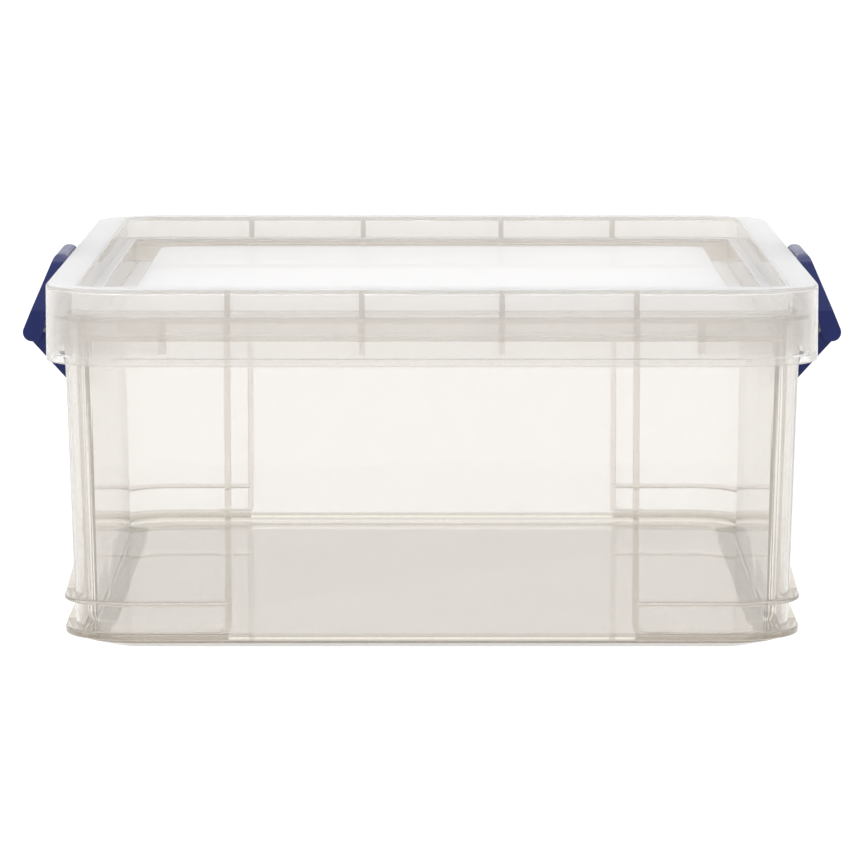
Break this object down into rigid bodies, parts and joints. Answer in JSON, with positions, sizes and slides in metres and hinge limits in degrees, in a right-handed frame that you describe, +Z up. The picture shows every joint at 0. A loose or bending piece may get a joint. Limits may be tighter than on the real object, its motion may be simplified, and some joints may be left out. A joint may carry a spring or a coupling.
{
  "type": "under bed storage box",
  "caption": "Shallow translucent storage tub with a deep-skirted lid, recessed on top for stacking, held shut by blue clip handles on both sides.",
  "frame": {"origin": "centre of the box's footprint, on the surface it stands on", "axes": "+Z up, +Y towards the back along the box's long side, +X to the right, across the two clip handles"},
  "size_m": [0.448, 0.5, 0.189],
  "materials": {
    "clear_plastic": "milky translucent polypropylene, smooth and slightly glossy",
    "blue_plastic": "opaque navy blue polypropylene, satin"
  },
  "bodies": {
    "tub": {"tub": "clear_plastic"},
    "lid": {"lid": "clear_plastic"},
    "clip_left": {"clip_left": "blue_plastic"},
    "clip_right": {"clip_right": "blue_plastic"}
  },
  "joints": [
    {"name": "lid_lift", "type": "slide", "parent": "tub", "child": "lid", "axis": [0, 0, 1], "range_m": [0, 0.12]},
    {"name": "clip_right_pivot", "type": "hinge", "parent": "tub", "child": "clip_right", "pos_m": [0.195, 0, 0.1255], "axis": [0, 1, 0], "range_deg": [0, 110]},
    {"name": "clip_left_pivot", "type": "hinge", "parent": "tub", "child": "clip_left", "pos_m": [-0.195, 0, 0.1255], "axis": [0, -1, 0], "range_deg": [0, 110]}
  ]
}
